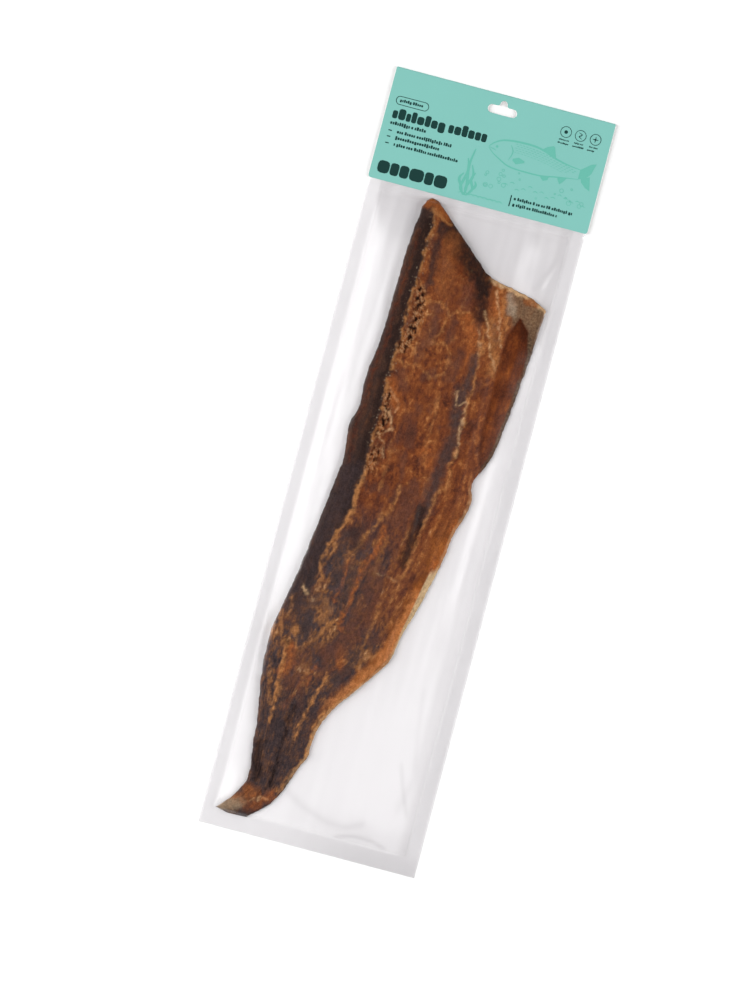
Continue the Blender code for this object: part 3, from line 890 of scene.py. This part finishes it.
def painted_film_shade(x, h):
    """How grey the film looks, as painted light and shade: a painted highlight bright on the left,
    painted shade duller at the top and the right.
    """
    # Painted streaks of light and shade running down the film, fewer at the smooth lower right.
    bands = layered(x / 7, h / 170, 221, 2, 0.6) + 0.4 * layered(x / 16, h / 40, 222)
    bands = bands * (1 - 0.75 * calm(x, h))
    # A painted highlight: the bright wedge at the upper left.
    wedge = smooth(-3, 3, -71 + 0.34 * (463 - h) - x) * smooth(-1, 6, 463 - h)
    # Painted shade towards the top, and a little less painted shade at the smooth lower right.
    above = smooth(408, 446, h + 0.3 * x)
    shade = 0.22 + 0.60 * above + 0.14 * bands - 0.09 * calm(x, h)
    shade = shade * (1 - 0.85 * wedge * (1 - smooth(-30, -5, x))) + 0.07 * bands
    # Painted shade down the right side and along the bottom towards the right.
    shade += 0.46 * smooth(60, 69, x)
    shade += 0.3 * smooth(-30, 40, x) * (1 - smooth(14, 40, h + 4 * noise(x / 14, h / 9, 223)))
    for strength, width, soft, *path in PAINTED_FOLD_LIGHT:
        shade += strength * band(x, h, path, width, soft)
    # The seals' own painted shade, darker to the right and at the lower right.
    seal = (np.abs(x) > POUCH_HALF) | (h < BOTTOM_SEAL)
    sealed = 0.26 + 0.40 * smooth(-80, 80, x) + 0.35 * smooth(-30, 50, x) * (1 - smooth(4, 20, h))
    sealed = sealed + 0.08 * layered(x / 5, h / 30, 224)
    return np.clip(np.where(seal, sealed, shade), 0, 1.3)


def film_faces(hole, rows, columns):
    """Back and front sheets of a grid, without the hole, walled along every free edge."""
    wide = columns + 1
    over = (rows + 1) * wide
    kept = ~(hole[:-1, :-1] & hole[1:, 1:] & hole[:-1, 1:] & hole[1:, :-1])
    faces = []
    for r in range(rows):
        for c in range(columns):
            if not kept[r, c]:
                continue
            a = r * wide + c
            b, d, e = a + 1, a + wide + 1, a + wide
            faces.append((a, e, d, b))
            faces.append((a + over, b + over, d + over, e + over))
            next_to = ((r - 1, c), (r, c + 1), (r + 1, c), (r, c - 1))
            for near, p, q in zip(next_to, (a, b, d, e), (b, d, e, a)):
                within = 0 <= near[0] < rows and 0 <= near[1] < columns
                if not (within and kept[near]):
                    faces.append((p, q, q + over, p + over))
    return faces


# ---------------------------------------------------------------- the header card and its print

INK = linear(10, 52, 48)
TONE = linear(98, 176, 160)
CARD = linear(122, 184, 175)
# How far the ink's plates go into the card, and stand out of it. Each of ten in turn stands
# out a little more, so that no two that cross share a face.
INK_SUNK = 0.05
INK_RISE = 0.03
INK_STEP, INK_STEPS = 0.004, 10


def card_material():
    """Coloured print on the outside of a white card, which shows at its cut edges and inside."""
    nodes = Nodes("printed_card")
    here = nodes.add("TexCoord", {}, "Object")
    fold = (0, (PACK_LENGTH - CARD_FRONT / 2 + BOTTOM_Y) * MM, CARD_FRONT / 2 * MM)
    away = nodes.add("VectorMath", {0: here, 1: fold}, operation="SUBTRACT")
    bent = nodes.add("VectorMath", {0: away, 1: (0, 1, 1)}, operation="MULTIPLY")
    split = nodes.add("SeparateXYZ", {0: bent}).node.outputs
    beyond = nodes.maths("MAXIMUM", split["Y"], 0.0)
    outward = nodes.add("CombineXYZ", {"Y": beyond, "Z": split["Z"]})
    unit = nodes.add("VectorMath", {0: outward}, operation="NORMALIZE")
    normal = nodes.add("NewGeometry", {}, "True Normal")
    facing = nodes.add("VectorMath", {0: unit, 1: normal}, "Value", operation="DOT_PRODUCT")
    outside = nodes.spread(facing, 0.35, 0.45)
    grain = nodes.noise(nodes.millimetres(), 1.4, 4)
    cloud = nodes.noise(nodes.millimetres(), 0.03, 2)
    printed = nodes.mix(cloud, (*CARD * 0.98, 1), (*CARD * 1.02, 1))
    paper = nodes.mix(grain, (0.78, 0.77, 0.74, 1), (0.86, 0.85, 0.82, 1))
    nodes.set(
        Base_Color=nodes.mix(outside, paper, printed),
        Roughness=nodes.spread(grain, 0.3, 0.7, 0.52, 0.62),
        Specular_IOR_Level=0.25,
        Normal=nodes.bump(grain, 0.15, 0.0001),
    )
    return nodes.material


def ink_material(name, colour):
    nodes = Nodes(name)
    grain = nodes.noise(nodes.millimetres(), 2.0, 3)
    nodes.set(
        Base_Color=nodes.mix(grain, (*colour * 0.94, 1), (*colour * 1.06, 1)),
        Roughness=nodes.spread(grain, 0.3, 0.7, 0.45, 0.55),
        Specular_IOR_Level=0.25,
        Normal=nodes.bump(grain, 0.1, 0.00005),
    )
    return nodes.material


class Print:
    """Flat shapes of one ink: each is a thin closed plate on the card's front."""

    def __init__(self):
        self.points, self.faces, self.count = [], [], 0

    def strip(self, left, right, closed=False):
        """The plate between two lines of as many points each."""
        left, right = np.asarray(left, float), np.asarray(right, float)
        count, first = len(left), len(self.points)
        self.count += 1
        top = CARD_FRONT + INK_RISE + INK_STEP * (self.count % INK_STEPS)
        for z in (CARD_FRONT - INK_SUNK, top):
            for line in (left, right):
                self.points += [(x, h, z) for x, h in line]
        a, b, c, d = (first + k * count for k in range(4))
        pairs = [(i, (i + 1) % count) for i in range(count if closed else count - 1)]
        for i, j in pairs:
            self.faces += [
                (a + i, a + j, b + j, b + i), (c + i, d + i, d + j, c + j),
                (a + i, c + i, c + j, a + j), (b + i, b + j, d + j, d + i),
            ]
        if not closed:
            e = count - 1
            self.faces += [(a, b, d, c), (a + e, c + e, d + e, b + e)]

    def bar(self, x0, x1, low, high):
        """A bar with rounded corners."""
        r = 0.3 * min(x1 - x0, high - low)
        x = np.array((x0, x0 + 0.3 * r, x0 + r, x1 - r, x1 - 0.3 * r, x1))
        inset = np.array((r, 0.3 * r, 0, 0, 0.3 * r, r))
        self.strip(np.stack([x, high - inset], -1), np.stack([x, low + inset], -1))

    def ring(self, x, h, radius, width, stretch=0.0):
        """A circle's line, drawn out sideways into a pill."""
        turn = np.linspace(0, -2 * math.pi, 32, endpoint=False)
        lines = []
        for size in (radius + width / 2, radius - width / 2):
            shift = stretch * np.sign(np.cos(turn) + 1e-9)
            lines.append(np.stack([x + size * np.cos(turn) + shift, h + size * np.sin(turn)], -1))
        self.strip(*lines, closed=True)

    def disc(self, x, h, radius):
        turn = np.linspace(math.pi, 0, 13)
        across = x + radius * np.cos(turn)
        lift = np.maximum(radius * np.sin(turn), 0.02)
        self.strip(np.stack([across, h + lift], -1), np.stack([across, h - lift], -1))

    def line(self, path, width, steps=24):
        """A smooth line through a few points, thinner at both ends."""
        path = np.array(path, float)
        knots = np.linspace(0, 1, len(path))
        t = np.linspace(0, 1, steps)
        x = curve(np.stack([knots, path[:, 0]], -1), t)
        h = curve(np.stack([knots, path[:, 1]], -1), t)
        run = np.stack([np.gradient(x), np.gradient(h)], -1)
        run /= np.hypot(*run.T)[:, None]
        across = np.stack([-run[:, 1], run[:, 0]], -1)
        half = (width / 2 * (0.35 + 0.65 * np.sin(math.pi * t)))[:, None]
        centre = np.stack([x, h], -1)
        self.strip(centre + across * half, centre - across * half)

    def words(self, x0, x1, base, tall, seed, word_gap=0.6, letter_gap=0.2):
        """A row of bars of uneven width and height, in groups, where a line of type would be."""
        x, k = x0, 0
        while x < x1 - 0.5 * tall:
            pick = [corner_value(k, seed, n) for n in range(4)]
            wide = tall * (0.52 + 0.4 * pick[0])
            high = tall * (1.35 if pick[1] > 0.68 else 1.0)
            low = tall * (0.3 if pick[2] > 0.9 else 0.0)
            self.bar(x, min(x + wide, x1), base - low, base + high)
            gap = word_gap if pick[3] > 0.84 else letter_gap
            x += wide + gap * tall
            k += 1

    def made(self, name, colour):
        piece = mesh_piece(name, self.points, self.faces, ink_material(name, colour), False)
        return piece


# The lines of type: left, right, base, height and seed, and the title's narrow gaps.
TYPE = (
    (-72.6, -54.6, 534.4, 1.6, 1), (-75.4, -36.6, 521.8, 5.8, 2, 0.11, 0.11),
    (-34, -5.8, 521.6, 6, 3, 0.11, 0.11), (-75.4, -47.8, 517.3, 1.9, 4),
)
TYPE_AT_RIGHT = ((24, 67.4, 487.2, 1.7, 16), (24, 57.2, 482.9, 1.7, 17))
# The listed lines' heights and right ends, the large blocks' left ends and widths, and the signs.
LISTED = ((511.9, -28.9), (507.5, -36.8), (502.7, -21.5))
BLOCKS = ((-76.2, 8.6), (-66.9, 6.2), (-60, 6.6), (-52.7, 10.4), (-41.6, 6.4), (-34.5, 9.3))
SIGNS_X, SIGNS_H = (47.9, 58.7, 69.7), 543.8


def print_type():
    """Plain bars in the places of the card's type, and three ringed signs."""
    ink = Print()
    ink.ring(-63.5, 535.25, 3, 0.5, 8.9)
    for line in TYPE:
        ink.words(*line)
    for row, (height, stop) in enumerate(LISTED):
        ink.bar(-75.4, -72.8, height + 0.6, height + 1.4)
        ink.words(-69.1, stop, height, 1.8, 5 + row)
    for start, wide in BLOCKS:
        ink.bar(start, start + wide, 481.8, 490.8)
    for k, x in enumerate(SIGNS_X):
        ink.ring(x, SIGNS_H, 3.9, 0.45)
        ink.words(x - 3.6 + 0.2 * k, x + 3.6 - 0.2 * k, 537.4, 0.9, 9 + k)
        ink.words(x - 4.1, x + 4.1 - 2.4 * (k == 2), 534.9, 0.9, 12 + k)
    ink.disc(SIGNS_X[0], SIGNS_H, 1.3)
    ink.line(((57.2, 545.9), (59.6, 544.6), (57.9, 543), (60.1, 541.6)), 0.7)
    ink.line(((67.6, SIGNS_H), (71.8, SIGNS_H)), 0.8)
    ink.line(((SIGNS_X[2], 541.7), (SIGNS_X[2], 545.9)), 0.8)
    ink.bar(21.4, 22.2, 482, 490.2)
    for line in TYPE_AT_RIGHT:
        ink.words(*line)
    return ink.made("print_dark", INK)


# A plain fish's back and belly, as (x, height) points from its nose to its tail.
FISH_BACK = (
    (-2.8, 520.2), (0.5, 523.6), (6, 526.6), (14, 528), (24, 528.4), (34, 527.4),
    (46, 523.4), (56, 521.2), (65, 520.2),
)
FISH_BELLY = (
    (-2.8, 519.4), (0.5, 516.4), (6, 513.2), (14, 509.6), (26, 508.6), (38, 508.8),
    (48, 510.6), (56, 512), (65, 513.2),
)
# Its fins and its tail, each as the two lines that bound a part.
FINS = (
    (((35, 527.6), (38, 530.2), (41.9, 531.8), (43.2, 531)),
     ((35, 526.6), (39, 526), (43, 524.8), (45.8, 523.6))),
    (((16, 515.6), (20, 517.4), (24.6, 515.8)), ((16, 514.2), (19, 512.2), (24.6, 514.6))),
    (((38, 509.2), (41, 509), (44.4, 510)), ((38.4, 507.6), (40.6, 505.8), (43.6, 507))),
    (((50, 511.2), (54, 511.8), (57, 512.2)), ((50.8, 509), (52.6, 506.4), (54.6, 508.4))),
    (((64.6, 520.2), (68.5, 523.4), (71.6, 526), (75, 527)),
     ((64.6, 513.2), (69.5, 515), (71.8, 517.4), (73.2, 519.8))),
    (((66, 515.6), (69.6, 515.4), (72.6, 517)), ((67.4, 511.6), (71, 508.6), (74.8, 507))),
)
# The top of each stem of weed, and how far it sways.
WEED = ((497, 1.4), (508, -1.2), (515.7, 1), (504, -1.5), (499, 1.2), (493, -0.8))


def print_drawing():
    """A plain fish over weed, stones and bubbles, in a slightly deeper tone than the card."""
    tone = Print()
    tone.line(FISH_BACK, 1.5, 60)
    tone.line(FISH_BELLY, 1.1, 60)
    tone.line(((-2.8, 519.8), (1.2, 518.9), (2.8, 518.2)), 0.6)
    tone.disc(2.8, 521.2, 0.9)
    tone.line(((12.4, 524.8), (14.8, 520), (13.0, 513.6)), 0.8)
    for upper, lower in FINS:
        tone.strip(upper, lower)
    for row in range(5):
        for k in range(19 - row):
            x = 15.5 + 2.5 * k + 1.2 * (row % 2)
            scale = 526.3 - 1.5 * row - 0.1 * k - 0.004 * (x - 20) ** 2
            arc = ((x, scale), (x + 0.8, scale + 0.35), (x + 1.7, scale))
            tone.line(arc, 0.55 - 0.06 * row, 5)
    for k, (top, sway) in enumerate(WEED):
        x, foot, bend = -16.2 + 2.1 * k, -11.2 + 0.5 * (k - 2.5), 487
        high_bend = 0.45 * bend + 0.55 * top
        stem = ((foot, 481.5), (x + sway, bend), (x - sway, high_bend), (x + sway * 0.6, top))
        tone.line(stem, 2, 20)
    for k in range(9):
        x = -16 + 3.5 * k
        tone.line(((x, 482.4 + 0.8 * (k % 2)), (x + 2.6, 483.4), (x + 5.0, 482.2)), 0.7, 8)
    for k in range(22):
        x = 14 * corner_value(k, 1, 32) if k < 9 else 0.5 + 77 * corner_value(k, 1, 31)
        radius = 0.5 + 1.5 * corner_value(k, 3, 31) ** 2
        tone.ring(x, 492 + 15 * corner_value(k, 2, 31), radius, 0.4)
    for k in range(14):
        x, h = 14 + 4.4 * k, 494 + 5 * corner_value(k, 4, 31)
        tone.line(((x, h), (x + 1.5, h + 0.9), (x + 3.4, h + 0.1)), 0.6, 8)
    return tone.made("print_tone", TONE)


# ---------------------------------------------------------------- the stage


FLOOR_HALF = 3.0
# The softboxes: name, place and power. Both have one size and face the pack.
SOFTBOX_SIZE = (0.9, 2.6)
SOFTBOXES = (("left_softbox", (-2.1, 0, 1.35), 68), ("right_softbox", (2.1, 0.1, 1.35), 55))
# The studio's walls: from this height to that one, their light goes from this strength to that.
STUDIO_FADE = (0.45, 0.85, 0.70, 0.02)


def make_stage():
    mesh = bpy.data.meshes.new("floor")
    left, right = -FLOOR_HALF, FLOOR_HALF
    corners = ((left, left, 0), (right, left, 0), (right, right, 0), (left, right, 0))
    mesh.from_pydata(corners, [], [(0, 1, 2, 3)])
    nodes = Nodes("pale_floor")
    grain = nodes.noise(nodes.millimetres(), 0.05, 2)
    pale = nodes.mix(grain, (0.885, 0.885, 0.885, 1), (0.905, 0.905, 0.905, 1))
    nodes.set(Base_Color=pale, Roughness=0.95, Specular_IOR_Level=0.1)
    mesh.materials.append(nodes.material)
    in_scene("floor", mesh)


def soft_light(name, centre, power):
    data = bpy.data.lights.new(name, "AREA")
    data.shape = "RECTANGLE"
    data.size, data.size_y = SOFTBOX_SIZE
    data.energy = power
    lamp = in_scene(name, data)
    lamp.location = centre
    lamp.rotation_euler = (-Vector(centre)).to_track_quat("-Z", "Y").to_euler()


# The photo's height and middle on the pack, in metres, from the middle of its lower edge.
VIEW_HEIGHT = 0.7156
VIEW_CENTRE = (-0.0167, 0.2544)
VIEW_ROLL = math.radians(14.87)
CAMERA_DISTANCE = 3.0
SENSOR = 36.0


def make_camera():
    data = bpy.data.cameras.new("camera")
    data.sensor_fit = "VERTICAL"
    data.sensor_height = SENSOR
    data.lens = SENSOR * CAMERA_DISTANCE / VIEW_HEIGHT
    data.clip_end = 20.0
    camera = in_scene("camera", data)
    camera.location = (VIEW_CENTRE[0], BOTTOM_Y * MM + VIEW_CENTRE[1], CAMERA_DISTANCE)
    camera.rotation_euler = (0.0, 0.0, VIEW_ROLL)
    bpy.context.scene.camera = camera


def make_light():
    """Two long softboxes beside the pack, in a studio that is dark overhead and pale all round."""
    world = bpy.data.worlds.new("studio")
    world.use_nodes = True
    tree = world.node_tree
    where = tree.nodes.new("ShaderNodeTexCoord")
    split = tree.nodes.new("ShaderNodeSeparateXYZ")
    fade = tree.nodes.new("ShaderNodeMapRange")
    tree.links.new(where.outputs["Generated"], split.inputs[0])
    tree.links.new(split.outputs["Z"], fade.inputs[0])
    for socket, value in zip(fade.inputs[1:5], STUDIO_FADE):
        socket.default_value = value
    background = tree.nodes["Background"]
    background.inputs["Color"].default_value = (1.0, 1.0, 1.0, 1)
    tree.links.new(fade.outputs[0], background.inputs["Strength"])
    bpy.context.scene.world = world
    for softbox in SOFTBOXES:
        soft_light(*softbox)
    bpy.context.scene.view_settings.view_transform = "Standard"


def main():
    make_camera()
    make_light()
    make_stage()
    fillet, upper = make_fillet()
    film = make_film(upper)
    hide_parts("sealed_bag")
    dark, tone = print_type(), print_drawing()
    card = bpy.data.objects["header_card"]
    card.data.materials.clear()
    card.data.materials.append(card_material())
    for piece in (fillet, film, dark, tone):
        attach(piece, "root")


main()
